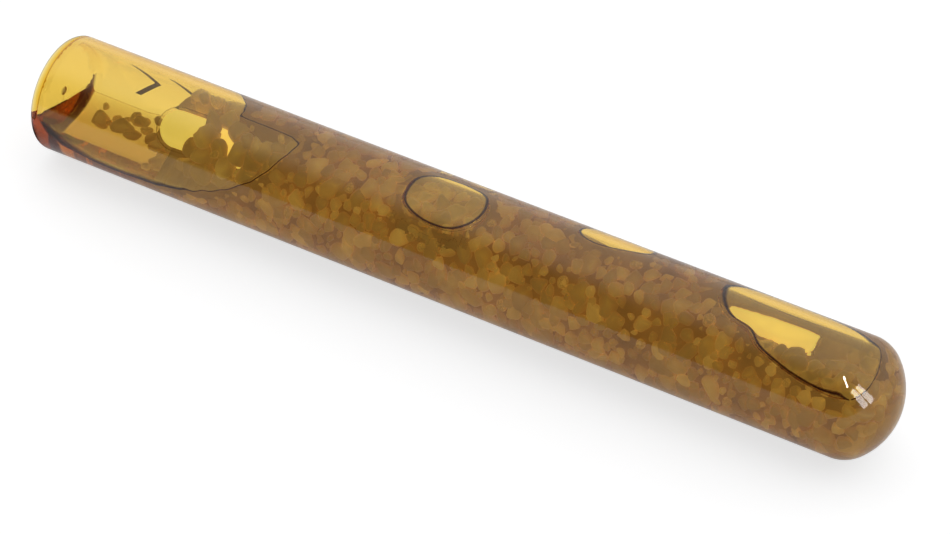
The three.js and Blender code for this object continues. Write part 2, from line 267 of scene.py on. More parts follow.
def liquid_level(x, y):
    """Height of the resin's free surface over the axis at a point, in metres. Near the flat end it
    is a level pool that climbs the glass; further on it lies askew over the heaped grains."""
    distance = (x - FLAT_X) / MM
    front = float(np.interp(distance, *zip(*FRONT_LEVEL))) * MM
    rear = float(np.interp(distance, *zip(*REAR_LEVEL))) * MM
    askew = front + (rear - front) * smoothstep(-1.5, 3.5, y / MM) - 0.3 * MM
    pool = 1 - smoothstep(*POOL_ENDS, distance)
    climb = END_CLIMB - END_CLIMB_FALL * y
    climb_reach = 0.5 - 0.35 * smoothstep(1.0, 4.5, y / MM)
    at_end = climb * math.exp(-max(0.0, distance - END_THICKNESS / MM) / climb_reach)
    middle = askew + (POOL_LEVEL + at_end - askew) * pool
    wall = front if y < 0 else rear
    half_width = math.sqrt(max(0.0, INNER**2 - min(abs(wall), INNER) ** 2))
    reach = FRONT_CLIMB_REACH if y < 0 else REAR_CLIMB_REACH
    near = math.exp(-max(0.0, half_width - abs(y)) / reach)
    return middle + (wall - middle) * near


def end_air():
    """The air space over the liquid at the flat end, as a closed solid that overshoots the glass."""
    reach = INNER + 1.2 * MM
    near_end = np.arange(FLAT_X - 0.5 * MM, FLAT_X + 3 * MM, FINE_SURFACE_STEP)
    further_on = np.arange(near_end[-1] + SURFACE_STEP, FLAT_X + 33 * MM, SURFACE_STEP)
    xs = np.concatenate([near_end, further_on])
    ys = np.linspace(-reach, reach, 73)
    verts, faces = [], []
    for x in xs:
        rippled = RIPPLE * smoothstep(12, 17, (x - FLAT_X) / MM)
        for y in ys:
            ripple = rippled * noise.noise(Vector((x, y, 0)) * 900)
            verts.append((x, y, AXIS_Z + min(liquid_level(x, y) + ripple, reach)))
    rows, cols = len(xs), len(ys)
    top = len(verts)
    verts += [(x, y, AXIS_Z + reach + 1.0 * MM) for x in xs for y in ys]
    for i in range(rows - 1):
        for j in range(cols - 1):
            a = i * cols + j
            faces.append((a, a + cols, a + cols + 1, a + 1))
            faces.append(tuple(top + k for k in (a, a + 1, a + cols + 1, a + cols)))
    rim = list(range(cols)) + [i * cols + cols - 1 for i in range(1, rows)]
    rim += [(rows - 1) * cols + j for j in range(cols - 2, -1, -1)]
    rim += [i * cols for i in range(rows - 2, 0, -1)]
    for a, b in zip(rim, rim[1:] + rim[:1]):
        faces.append((a, b, top + b, top + a))
    return verts, faces


def closed_curve(points, steps):
    """A smooth closed curve through the points (Catmull-Rom)."""
    pts = np.array(points, float)
    out = []
    for i in range(len(pts)):
        p0, p1, p2, p3 = (pts[(i + k) % len(pts)] for k in (-1, 0, 1, 2))
        for s in range(steps):
            t = s / steps
            out.append(0.5 * (2 * p1 + (p2 - p0) * t + (2 * p0 - 5 * p1 + 4 * p2 - p3) * t**2
                              + (3 * p1 - p0 - 3 * p2 + p3) * t**3))
    return np.array(out)


def floor_depth(angle, depth=None, level=None):
    """How far a bubble's floor is below the glass at an angle on the wall, in metres."""
    return depth * MM if depth else max(BUBBLE_WIDEST, INNER - level * MM / max(math.sin(angle), 0.3))


def bubble(outline, depth=None, level=None):
    """A flattened bubble against the wall, widest a little below it, with an uneven floor. Its lid
    follows the wall and overshoots it."""
    curve = closed_curve(outline, 8)
    middle = curve.mean(0)
    start = -math.asin((BUBBLE_WIDEST + LID_OVERSHOOT) / BUBBLE_SHOULDER)
    scale_at_wall = math.cos(math.asin(BUBBLE_WIDEST / BUBBLE_SHOULDER))
    turns = np.concatenate([np.linspace(start, 0, 6), np.linspace(0, math.pi / 2, 21)[1:]])
    stations = [(share * math.cos(start), -LID_OVERSHOOT, 0) for share in np.linspace(0, 1, 8)[:-1]]
    for t in turns:
        top = BUBBLE_WIDEST + math.sin(t) * BUBBLE_SHOULDER if t < 0 else BUBBLE_WIDEST
        stations.append((math.cos(t), top, max(0, math.sin(t))))
    verts, rings = [], []
    for share, top, down in stations:
        ring = []
        for point in curve if share > 1e-6 else [middle]:
            distance, angle = middle + (point - middle) * share / scale_at_wall
            a = math.radians(angle)
            floor = floor_depth(a, depth, level)
            spot = Vector((distance, math.cos(a) * 5, math.sin(a) * 5))
            lumps = BUBBLE_ROUGHNESS * noise.noise(spot * 0.8) * smoothstep(0.3, 0.9, down)
            r = INNER - top - (floor - BUBBLE_WIDEST) * down - lumps
            ring.append(len(verts))
            verts.append((FLAT_X + distance * MM, -r * math.cos(a), AXIS_Z + r * math.sin(a)))
        rings.append(ring)
    faces = []
    for low, high in zip(rings, rings[1:]):
        for j in range(len(curve)):
            n = (j + 1) % len(curve)
            quad = [low[j % len(low)], high[j % len(high)], high[n % len(high)], low[n % len(low)]]
            faces.append(list(dict.fromkeys(quad)))
    return verts, faces


def air_cutters():
    cutters = [mesh_object("cut_end", *end_air())]
    for name, shape in BUBBLES.items():
        cutters.append(mesh_object("cut_" + name, *bubble(**shape)))
    for cutter in cutters:
        face_outward(cutter)
    return cutters


# --- Materials ---------------------------------------------------------------------------
def new_material(name):
    m = bpy.data.materials.new(name)
    m.use_nodes = True
    m.node_tree.nodes.clear()
    return m, m.node_tree.nodes, m.node_tree.links


def mixed(nodes, links, factor, first, second):
    mix = nodes.new("ShaderNodeMixShader")
    links.new(factor, mix.inputs["Fac"])
    links.new(first.outputs[0], mix.inputs[1])
    links.new(second.outputs[0], mix.inputs[2])
    return mix


def number(nodes, name):
    """The output of the mesh attribute of this name."""
    attribute = nodes.new("ShaderNodeAttribute")
    attribute.attribute_name = name
    return attribute.outputs["Fac"]


def maths(nodes, links, operation, *values):
    """The output of a Math node; each value is a plain number or another node's output."""
    node = nodes.new("ShaderNodeMath")
    node.operation = operation
    for value, socket in zip(values, node.inputs):
        if isinstance(value, (int, float)):
            socket.default_value = value
        else:
            links.new(value, socket)
    return node.outputs[0]


def above(nodes, links, value, limit):
    return maths(nodes, links, "GREATER_THAN", value, limit)


def mirror(nodes):
    gloss = nodes.new("ShaderNodeBsdfGlossy")
    gloss.inputs["Roughness"].default_value = 0.02
    return gloss


def facing_fresnel(nodes, links):
    """How much a pane mirrors, on its outer side only."""
    fresnel = nodes.new("ShaderNodeFresnel")
    side = nodes.new("ShaderNodeNewGeometry")
    share = maths(nodes, links, "SUBTRACT", fresnel.outputs[0], side.outputs["Backfacing"])
    share.node.use_clamp = True
    return share


def optical(name, absorb_colour, absorb_density, shadow_colour, rim):
    """Clear material that refracts only where the attribute "air" is over 0. Elsewhere it touches
    resin of the same index and can't be seen, or it is a thin plain pane. rim is the dark colour
    of painted shade: it shows where the attribute "rim" is high, on thin panes seen edge-on, and
    on the air side of the place where "air" passes through 0, in a line whose half width is the
    attribute "line". This painted shade stands for the darkening by refraction at menisci and corners."""
    m, nodes, links = new_material(name)
    out = nodes.new("ShaderNodeOutputMaterial")
    glass = nodes.new("ShaderNodeBsdfPrincipled")
    glass.inputs["Base Color"].default_value = (1, 1, 1, 1)
    glass.inputs["Roughness"].default_value = 0.0
    glass.inputs["IOR"].default_value = 1.5
    glass.inputs["Transmission Weight"].default_value = 1.0
    clear = nodes.new("ShaderNodeBsdfTransparent")
    shade = nodes.new("ShaderNodeBsdfTransparent")
    shade.inputs["Color"].default_value = (*shadow_colour, 1)
    # dark is the filter of the painted shade.
    dark = nodes.new("ShaderNodeBsdfTransparent")
    dark.inputs["Color"].default_value = (*rim, 1)
    rays = nodes.new("ShaderNodeLightPath")
    lit = mixed(nodes, links, rays.outputs["Is Shadow Ray"], glass, shade)
    air = number(nodes, "air")
    wet = mixed(nodes, links, above(nodes, links, air, 0.0), clear, lit)
    # Thin panes darken as they turn edge-on: painted shade.
    edge_on = nodes.new("ShaderNodeLayerWeight")
    edge_on.inputs["Blend"].default_value = 0.5
    outline = maths(nodes, links, "POWER", edge_on.outputs["Facing"], OUTLINE_POWER)
    pane = mixed(nodes, links, facing_fresnel(nodes, links), clear, mirror(nodes))
    with_edge_on_shade = mixed(nodes, links, outline, pane, dark)
    thin = mixed(nodes, links, above(nodes, links, air, PANE_LIMIT), with_edge_on_shade, wet)
    # Painted shade where "rim" is high, and in a line along the contact with the free surface.
    distance = maths(nodes, links, "ABSOLUTE", air)
    in_widths = maths(nodes, links, "DIVIDE", distance, number(nodes, "line"))
    line = maths(nodes, links, "SUBTRACT", LINE_SHARPNESS, in_widths)
    edge = maths(nodes, links, "MAXIMUM", number(nodes, "rim"), line)
    shown = maths(nodes, links, "MULTIPLY", edge, above(nodes, links, air, -LINE_OVERLAP))
    shown.node.use_clamp = True
    with_painted_shade = mixed(nodes, links, shown, thin, dark)
    links.new(with_painted_shade.outputs[0], out.inputs["Surface"])
    volume = nodes.new("ShaderNodeVolumeAbsorption")
    volume.inputs["Color"].default_value = (*absorb_colour, 1)
    volume.inputs["Density"].default_value = absorb_density
    links.new(volume.outputs[0], out.inputs["Volume"])
    return m


def quartz_material():
    """Honey-coloured grains, each of its own shade. They fade into the cloudy resin away from the glass.
    Their emission is a painted glow standing for light scattered in the cloudy resin.
    """
    m, nodes, links = new_material("quartz_grain")
    out = nodes.new("ShaderNodeOutputMaterial")
    bsdf = nodes.new("ShaderNodeBsdfPrincipled")
    where = nodes.new("ShaderNodeTexCoord")
    patches = nodes.new("ShaderNodeTexNoise")
    patches.inputs["Scale"].default_value = 420
    patches.inputs["Detail"].default_value = 3
    island = nodes.new("ShaderNodeNewGeometry")
    blend = nodes.new("ShaderNodeMix")
    blend.inputs["Factor"].default_value = 0.5
    ramp = nodes.new("ShaderNodeValToRGB")
    stops = ramp.color_ramp.elements
    stops[0].position, stops[0].color = 0.2, (0.41, 0.265, 0.11, 1)
    stops[1].position, stops[1].color = 0.8, (0.70, 0.50, 0.21, 1)
    mid = stops.new(0.5)
    mid.color = (0.50, 0.325, 0.12, 1)
    links.new(where.outputs["Object"], patches.inputs["Vector"])
    links.new(patches.outputs["Fac"], blend.inputs[2])
    links.new(island.outputs["Random Per Island"], blend.inputs[3])
    links.new(blend.outputs[0], ramp.inputs["Fac"])
    fade = nodes.new("ShaderNodeMix")
    fade.data_type = "RGBA"
    links.new(number(nodes, "haze"), fade.inputs["Factor"])
    colours = [k for k in fade.inputs if k.type == "RGBA"]
    links.new(ramp.outputs["Color"], colours[0])
    colours[1].default_value = (*HAZE, 1)
    shade = next(k for k in fade.outputs if k.type == "RGBA")
    links.new(shade, bsdf.inputs["Base Color"])
    links.new(shade, bsdf.inputs["Emission Color"])
    bsdf.inputs["Roughness"].default_value = 0.35
    bsdf.inputs["Specular IOR Level"].default_value = 0.15
    # Painted glow: emission standing for light scattered in the cloudy resin.
    bsdf.inputs["Emission Strength"].default_value = PAINTED_GLOW
    links.new(bsdf.outputs[0], out.inputs["Surface"])
    return m


def plain_material(name, colour, roughness, scale, variation, specular=0.5, glow=0.0):
    """A dull material whose colour varies a little from place to place. glow is emission, painted light
    that lifts its shaded side.
    """
    m, nodes, links = new_material(name)
    out = nodes.new("ShaderNodeOutputMaterial")
    bsdf = nodes.new("ShaderNodeBsdfPrincipled")
    where = nodes.new("ShaderNodeTexCoord")
    grain = nodes.new("ShaderNodeTexNoise")
    grain.inputs["Scale"].default_value = scale
    grain.inputs["Detail"].default_value = 4
    ramp = nodes.new("ShaderNodeValToRGB")
    dark = tuple(c * (1 - variation) for c in colour)
    ramp.color_ramp.elements[0].position, ramp.color_ramp.elements[0].color = 0.3, (*dark, 1)
    ramp.color_ramp.elements[1].position, ramp.color_ramp.elements[1].color = 0.7, (*colour, 1)
    links.new(where.outputs["Object"], grain.inputs["Vector"])
    links.new(grain.outputs["Fac"], ramp.inputs["Fac"])
    links.new(ramp.outputs["Color"], bsdf.inputs["Base Color"])
    bsdf.inputs["Roughness"].default_value = roughness
    bsdf.inputs["Specular IOR Level"].default_value = specular
    if glow:
        links.new(ramp.outputs["Color"], bsdf.inputs["Emission Color"])
        bsdf.inputs["Emission Strength"].default_value = glow
    links.new(bsdf.outputs[0], out.inputs["Surface"])
    return m


# --- Glass capsule -----------------------------------------------------------------------
def outer_profile():
    corner = arc(FLAT_X + END_CORNER, OUTER - END_CORNER, END_CORNER, 180, 90, 12)
    dish = dished_end(0, TIP_X, 24)
    wall = line(*corner[-1], *dish[0], 2.5 * MM)
    steps = [k / 6 for k in range(7)]
    pip = [(FLAT_X + PIP_DEPTH * math.cos(0.5 * math.pi * k) ** 2, PIP_RADIUS * k) for k in steps]
    face = line(*pip[-1], *corner[0], WALL_STEP)
    return pip + face + corner + wall + dish


def inner_profile():
    inner_x = FLAT_X + END_THICKNESS
    fillet = arc(inner_x + END_FILLET, INNER - END_FILLET, END_FILLET, 180, 90, 12)
    dish = dished_end(WALL, TIP_X - WALL, 24)
    face = line(inner_x, 0, *fillet[0], WALL_STEP)
    wall = line(*fillet[-1], *dish[0], WALL_STEP)
    return [(inner_x, 0)] + face + fillet + wall + dish


def air_depth(point, trees):
    """How far a point is inside an air space, in metres; negative outside."""
    deepest = -1.0
    for tree in trees:
        near, normal, _, distance = tree.find_nearest(point)
        inside = (Vector(point) - near).dot(normal) < 0
        deepest = max(deepest, distance if inside else -distance)
    return deepest


def set_number(mesh, name, values, domain):
    attribute = mesh.attributes.new(name, "FLOAT", domain)
    attribute.data.foreach_set("value", np.array(values, np.float32))


def outer_air(x, y, z):
    """1 on the outside of the glass, where it refracts, or DRY_PANE on the flat end over the liquid."""
    on_face = x < FLAT_X + END_CORNER - 0.01 * MM and math.hypot(y, z - AXIS_Z) > PIP_RADIUS
    over_liquid = z > AXIS_Z + liquid_level(FLAT_X + END_THICKNESS, y)
    return DRY_PANE if on_face and over_liquid else 1.0


def inner_air(point, trees):
    """The depth in the air on the inside of the glass, or DRY_PANE in the flat end's dry corner."""
    depth = air_depth(point, trees)
    from_axis = math.hypot(point[1], point[2] - AXIS_Z)
    near_end = point[0] < FLAT_X + END_THICKNESS + END_FILLET + 0.2 * MM
    in_corner = near_end and from_axis > INNER - END_FILLET
    return DRY_PANE if in_corner and depth > 0 else depth


def corner_shade_and_pip_spot(x, y, z):
    """The dark band at the flat end's corner, below the liquid's level, is painted shade standing for the
    darkening by refraction there. The pip gets a dark spot.
    """
    height = (z - AXIS_Z) / MM
    from_face = (x - FLAT_X) / MM
    radius = math.hypot(y, z - AXIS_Z) / MM
    width = 1.5 - 0.9 * smoothstep(-4.0, 0.0, y / MM)
    band = 1 - smoothstep(0.5 * width, width, from_face) if radius > 4.6 else 0
    pip = 0.75 * (1 - smoothstep(0.2, 0.6, radius)) if from_face < 0.6 else 0
    return max(pip, band * (1 - smoothstep(-1.2, 0.6, height)))


def painted_line_width(x, y):
    """Half the width of the dark line where a free surface meets the glass, in metres: painted shade
    standing for the darkening by refraction at the meniscus. It is broad only along the front of the pool."""
    distance = (x - FLAT_X) / MM
    along_pool = smoothstep(1.2, 3.0, distance) * (1 - smoothstep(13.0, 21.0, distance))
    if y > 0:
        return (0.003 + 0.045 * smoothstep(13.0, 16.0, distance)) * MM
    return (0.048 + 0.5 * along_pool) * MM


def make_glass(trees, material):
    outer_verts, outer_faces = turned(outer_profile(), SEGMENTS)
    inner_verts, inner_faces = turned(inner_profile(), SEGMENTS)
    offset = len(outer_verts)
    inner_faces = [[offset + i for i in reversed(f)] for f in inner_faces]
    glass = mesh_object("glass_capsule", outer_verts + inner_verts, outer_faces + inner_faces)
    depths = [inner_air(v, trees) for v in inner_verts]
    set_number(glass.data, "air", [outer_air(*v) for v in outer_verts] + depths, "POINT")
    # rim and line carry the painted dark shade at the flat end's corner and along the contact lines.
    set_number(glass.data, "rim", [corner_shade_and_pip_spot(*v) for v in outer_verts] + [0.0] * len(inner_verts), "POINT")
    set_number(glass.data, "line", [painted_line_width(v[0], v[1]) for v in outer_verts + inner_verts], "POINT")
    glass.data.materials.append(material)
    return glass


# --- Ampoule -----------------------------------------------------------------------------
def ampoule_profile(inset, length):
    """The ampoule's rounded nose, straight side and nearly flat end, from the nose's tip at 0."""
    radius = AMPOULE_R - inset
    corner = max(AMPOULE_CORNER - inset, 0.15 * MM)
    nose = arc(AMPOULE_R, 0, radius, 180, 90, 24)
    nose[0] = (nose[0][0], 0)
    end = arc(length - corner, radius - corner, corner, 90, 0, 8)
    return nose + line(*nose[-1], *end[0], WALL_STEP) + end + [(length, 0)]


def leaning(profile):
    """Vertices and faces of a round solid that stands on the ampoule's leaning axis."""
    verts, faces = turned(profile, 96, 0)
    turn = Vector((1, 0, 0)).rotation_difference(AMPOULE_LEAN).to_matrix()
    return [tuple(AMPOULE_NOSE + turn @ Vector(v)) for v in verts], faces


def ampoule_air(point, trees):
    """The tail half's depth in the air, and whether the nose half is dry or wet."""
    depth = air_depth(point, trees)
    if point[0] > 0:
        return depth
    return DRY_PANE if depth > 0 else WET


def make_ampoule(trees, material):
    outer_verts, outer_faces = leaning(ampoule_profile(0, AMPOULE_LENGTH))
    inner_verts, inner_faces = leaning(ampoule_profile(AMPOULE_WALL, AMPOULE_LENGTH - 2 * AMPOULE_WALL))
    offset = len(outer_verts)
    inner_faces = [[offset + i for i in reversed(f)] for f in inner_faces]
    shell = mesh_object("ampoule_shell", outer_verts + inner_verts, outer_faces + inner_faces)
    powder_end = AMPOULE_TAIL.x - POWDER_END_SPACE
    air = [ampoule_air(v, trees) for v in outer_verts]
    air += [1.0 if v[0] > powder_end else WET for v in inner_verts]
    set_number(shell.data, "air", air, "POINT")
    set_number(shell.data, "rim", [0.0] * len(air), "POINT")
    set_number(shell.data, "line", [NO_LINE] * len(air), "POINT")
    shell.data.materials.append(material)
    return shell


def make_powder(material):
    inset = AMPOULE_WALL + POWDER_SLACK
    profile = ampoule_profile(inset, AMPOULE_LENGTH - POWDER_END_SPACE)
    powder = mesh_object("powder_charge", *leaning(profile))
    face_outward(powder)
    powder.data.materials.append(material)
    return powder


# --- Resin -------------------------------------------------------------------------------
def make_resin(cutters, material):
    inset = WALL + RESIN_GAP
    inner_x = FLAT_X + END_THICKNESS + RESIN_GAP
    fillet = arc(inner_x + END_FILLET, OUTER - inset - END_FILLET, END_FILLET, 180, 90, 10)
    dish = dished_end(inset, TIP_X - inset, 20)
    wall = line(*fillet[-1], *dish[0], 4 * MM)
    resin = mesh_object("resin_body", *turned([(inner_x, 0)] + fillet + wall + dish, SEGMENTS))
    face_outward(resin)
    wall_slot, free_slot = bpy.data.materials.new("wall"), bpy.data.materials.new("free")
    resin.data.materials.append(wall_slot)
    for cutter in cutters:
        cutter.data.materials.append(free_slot)
        modifier = resin.modifiers.new("cut", "BOOLEAN")
        modifier.object, modifier.operation, modifier.solver = cutter, "DIFFERENCE", "EXACT"
        modifier.material_mode = "TRANSFER"
    evaluated = resin.evaluated_get(bpy.context.evaluated_depsgraph_get())
    mesh = bpy.data.meshes.new_from_object(evaluated)
    resin.modifiers.clear()
    resin.data = mesh
    names = [m.name if m else "" for m in mesh.materials]
    free = [names[p.material_index] == "free" for p in mesh.polygons]
    mesh.materials.clear()
    mesh.materials.append(material)
    set_number(mesh, "air", [1.0 if f else WET for f in free], "FACE")
    # rim: the painted dark shade along the menisci and at the flat end.
    set_number(mesh, "rim", [painted_meniscus_shade(v.co) for v in mesh.vertices], "POINT")
    set_number(mesh, "line", [NO_LINE] * len(mesh.vertices), "POINT")
    mesh.shade_smooth()
    mark_rims(mesh, free)
    for cutter in cutters:
        bpy.data.objects.remove(cutter)
    return resin


def painted_meniscus_shade(point):
    """Painted shade, 1 where the free surface curves up to meet the glass, falling to 0 over the meniscus's
    width. It stands for the darkening by refraction at the meniscus.
    """
    from_wall = inner_radius_at(point.x) - math.hypot(point.y, point.z - AXIS_Z)
    from_end = point.x - FLAT_X - END_THICKNESS
    at_wall = 1 - min(1.0, max(0.0, from_wall) / PAINTED_MENISCUS_SHADE_WIDTH)
    reach = PAINTED_END_SHADE_WIDTH * (1 - 0.65 * smoothstep(1.5, 4.8, point.y / MM))
    at_end = 1 - smoothstep(0.6, 1.25, from_end / reach)
    return max(0.5 * at_wall, 0.75 * at_end)


def mark_rims(mesh, free):
    """Sharp edges where a free surface meets the wall, so that shading doesn't run across."""
    owner = {}
    for p, is_free in zip(mesh.polygons, free):
        for key in p.edge_keys:
            owner.setdefault(key, set()).add(is_free)
    sharp = mesh.attributes.get("sharp_edge") or mesh.attributes.new("sharp_edge", "BOOLEAN", "EDGE")
    flags = [len(owner.get(tuple(sorted(e.vertices)), ())) > 1 for e in mesh.edges]
    sharp.data.foreach_set("value", flags)


# --- Quartz grains -----------------------------------------------------------------------
def grain_shapes(rng, level, count):
    """Unit grains: rounded convex lumps with flat faces, on one ball's topology."""
    bm = bmesh.new()
    bmesh.ops.create_icosphere(bm, subdivisions=level, radius=1)
    ball = np.array([v.co for v in bm.verts])
    faces = np.array([[v.index for v in f.verts] for f in bm.faces])
    bm.free()
    shapes = []
    for _ in range(count):
        normals = rng.normal(size=(rng.integers(9, 14), 3))
        normals /= np.linalg.norm(normals, axis=1)[:, None]
        heights = rng.uniform(0.78, 1.0, len(normals))
        facing = np.maximum(ball @ normals.T, 0) / heights
        radius = (np.sum(facing**11, axis=1) + 0.35**11) ** (-1 / 11)
        flattened = [1.0, rng.uniform(0.78, 1), rng.uniform(0.7, 0.95)]
        shapes.append(ball * np.minimum(radius, 1.45)[:, None] * flattened)
    return shapes, faces


def random_turn(rng):
    q = rng.normal(size=4)
    w, x, y, z = q / np.linalg.norm(q)
    return np.array([[1 - 2 * (y * y + z * z), 2 * (x * y - z * w), 2 * (x * z + y * w)],
                     [2 * (x * y + z * w), 1 - 2 * (x * x + z * z), 2 * (y * z - x * w)],
                     [2 * (x * z - y * w), 2 * (y * z + x * w), 1 - 2 * (x * x + y * y)]])


def allowed(point, size, trees):
    """Whether a grain may lie here: in the liquid or the wet heap, outside the bubbles and the ampoule."""
    spot = Vector(point)
    distance = (spot.x - FLAT_X) / MM
    over_level = spot.z - AXIS_Z - liquid_level(spot.x, spot.y) + 0.6 * MM
    if over_level > 0:
        in_heap = spot.z - AXIS_Z < heap_height(distance - 2.5 + 4.5 * smoothstep(0.5, 3, spot.y / MM))
        from_wall = INNER - math.hypot(spot.y, spot.z - AXIS_Z)
        if not in_heap or (spot.y < 2 * MM and from_wall < 0.5 * size + 0.45 * MM):
            return False
    if distance < BED_START and (spot.y < 1.0 * MM or noise.noise(spot * 800) < 0.25 - 0.02 * distance):
        return False
    along = max(0.0, min(AMPOULE_LENGTH, (spot - AMPOULE_NOSE).dot(AMPOULE_LEAN)))
    if (spot - AMPOULE_NOSE - along * AMPOULE_LEAN).length < AMPOULE_R + 0.42 * size:
        return False
    return all(air_depth(spot, [tree]) < -0.3 * size for tree in trees)


def heap_height(distance):
    """How high the wet grains are heaped over the axis, at a distance in mm from the flat end."""
    return float(np.interp(distance, HEAP_PLACES, HEAP_HEIGHTS)) * MM


def under_bubbles(rng, tries):
    """Places and sizes for grains just under the bubbles' floors."""
    points, sizes = [], rng.uniform(0.85, 1.2, tries * len(BUBBLES)) * GRAIN_MEAN
    for shape in BUBBLES.values():
        outline = np.array(shape["outline"])
        form = {k: v for k, v in shape.items() if k != "outline"}
        for distance, degrees in rng.uniform(outline.min(0), outline.max(0), (tries, 2)):
            a, size = math.radians(degrees), sizes[len(points)]
            r = max(0.0, inner_radius_at(FLAT_X + distance * MM) - floor_depth(a, **form) - 0.36 * size)
            points.append((FLAT_X + distance * MM, -r * math.cos(a), AXIS_Z + r * math.sin(a)))
    return np.array(points), sizes


def through_bed(rng, share, at_wall, tries):
    """Places and sizes for grains against the glass, or anywhere in the bed."""
    size = rng.uniform(0.85, 1.2, tries) * GRAIN_MEAN * share
    x = rng.uniform(FLAT_X + 2.6 * MM, TIP_X - WALL - 0.9 * MM, tries)
    angle = rng.uniform(0, 2 * math.pi, tries)
    limit = np.array([inner_radius_at(v + 0.3 * s) for v, s in zip(x, size)]) - 0.46 * size
    r = np.maximum(limit if at_wall else np.sqrt(rng.uniform(0, 1, tries)) * limit, 0)
    return np.stack([x, -r * np.cos(angle), AXIS_Z + r * np.sin(angle)], 1), size


def pack_grains(rng, fixed, trees):
    """Centres and sizes of the bed's grains, each clear of the ones before it."""
    chosen = np.array(fixed)
    reach = np.full(len(fixed), 0.5 * GRAIN_MEAN)
    thrown = [(UNDER_BUBBLE_SPACING, under_bubbles(rng, UNDER_BUBBLE_TRIES))]
    for share, spacing, at_wall, tries in GRAIN_PASSES:
        thrown.append((spacing, through_bed(rng, share, at_wall, tries)))
    for spacing, (points, sizes) in thrown:
        for p, s in zip(points, sizes):
            gap = np.linalg.norm(chosen - p, axis=1)
            if np.min(gap - reach) > spacing - 0.5 * GRAIN_MEAN and allowed(p, s, trees):
                chosen = np.vstack([chosen, p])
                reach = np.append(reach, 0.5 * s)
    return chosen[len(fixed):], 2 * reach[len(fixed):]


def inner_radius_at(x):
    """The glass's inner radius at x: constant along the wall, falling in the dished end."""
    crown, knuckle = CROWN - WALL, KNUCKLE - WALL
    tip = TIP_X - WALL
    offset = INNER - knuckle
    crown_x = tip - crown
    knuckle_x = crown_x + math.sqrt((crown - knuckle) ** 2 - offset**2)
    if x <= knuckle_x:
        return INNER
    if x >= tip:
        return 0.0
    meet_x = knuckle_x + (knuckle_x - crown_x) * knuckle / (crown - knuckle)
    if x < meet_x:
        return offset + math.sqrt(knuckle**2 - (x - knuckle_x) ** 2)
    return math.sqrt(crown**2 - (x - crown_x) ** 2)


def haze_over(points):
    """How far each point of the grains has faded into the cloudy resin, by its distance from the glass."""
    xs = np.linspace(FLAT_X, TIP_X, 400)
    walls = np.array([inner_radius_at(x) for x in xs])
    depth = np.interp(points[:, 0], xs, walls) - np.hypot(points[:, 1], points[:, 2] - AXIS_Z)
    return HAZE_MOST * np.clip(depth / HAZE_DEPTH, 0, 1) ** 1.5


def make_bed(trees, material):
    rng = np.random.default_rng(BED_SEED)
    fixed = [(sum(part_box(n), Vector()) / 2)[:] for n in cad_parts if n.startswith("quartz_grain")]
    centres, sizes = pack_grains(rng, fixed, trees)
    shapes, faces = grain_shapes(rng, 3, GRAIN_SHAPES)
    beds = []
    along = (centres[:, 0] - FLAT_X) / (TIP_X - FLAT_X)
    order = np.clip((along * BED_BLOCKS).astype(int), 0, BED_BLOCKS - 1)
    for b in range(BED_BLOCKS):
        verts, polys = [], []
        for c, s in zip(centres[order == b], sizes[order == b]):
            shape = shapes[rng.integers(len(shapes))] @ random_turn(rng).T * s * GRAIN_FULLNESS
            reach = np.hypot(shape[:, 1] + c[1], shape[:, 2] + c[2] - AXIS_Z)
            shrink = min(1.0, 1 - max(0, (reach.max() - INNER + 0.03 * MM)) / (0.5 * s))
            polys.append(faces + len(verts) * len(shapes[0]))
            verts.append(shape * shrink + c)
        bed = mesh_object(f"grain_bed_{b + 1}", np.concatenate(verts), np.concatenate(polys).tolist())
        set_number(bed.data, "haze", haze_over(np.concatenate(verts)), "POINT")
        bed.data.materials.append(material)
        beds.append(bed)
    return beds


def round_grain(grain):
    """Takes the sharp corners off a CAD grain."""
    weld = grain.modifiers.new("weld", "WELD")
    weld.merge_threshold = 0.001 * MM
    bevel = grain.modifiers.new("bevel", "BEVEL")
    bevel.width, bevel.segments, bevel.limit_method = 0.16 * MM, 2, "NONE"
    smooth = grain.modifiers.new("smooth", "SUBSURF")
    smooth.levels = smooth.render_levels = 1


# --- Cloudy resin between the grains -----------------------------------------------------
def paste_radius(x, angle, trees):
    """How far from the axis the cloudy resin reaches: near the glass, or well under a free surface. It
    comes up to the glass round the air spaces."""
    wall = inner_radius_at(x)
    at_wall = (x, -wall * math.cos(angle), AXIS_Z + wall * math.sin(angle))
    clouded = smoothstep(0, PASTE_SPREAD, -air_depth(at_wall, trees))
    least = 0.25 - 0.21 * smoothstep(80, 100, math.degrees(angle))
    radius = wall - PASTE_DEPTH * (least + (1 - least) * clouded)
    while radius > PASTE_LEAST_RADIUS:
        y, z = -radius * math.cos(angle), radius * math.sin(angle)
        spot = Vector((x, y, AXIS_Z + z))
        if air_depth(spot, trees) < -PASTE_UNDER_AIR * smoothstep(0, 1.2 * MM, wall - radius):
            return radius + 0.1 * MM * noise.noise(spot * 1500)
        radius -= 0.12 * MM
    return PASTE_LEAST_RADIUS


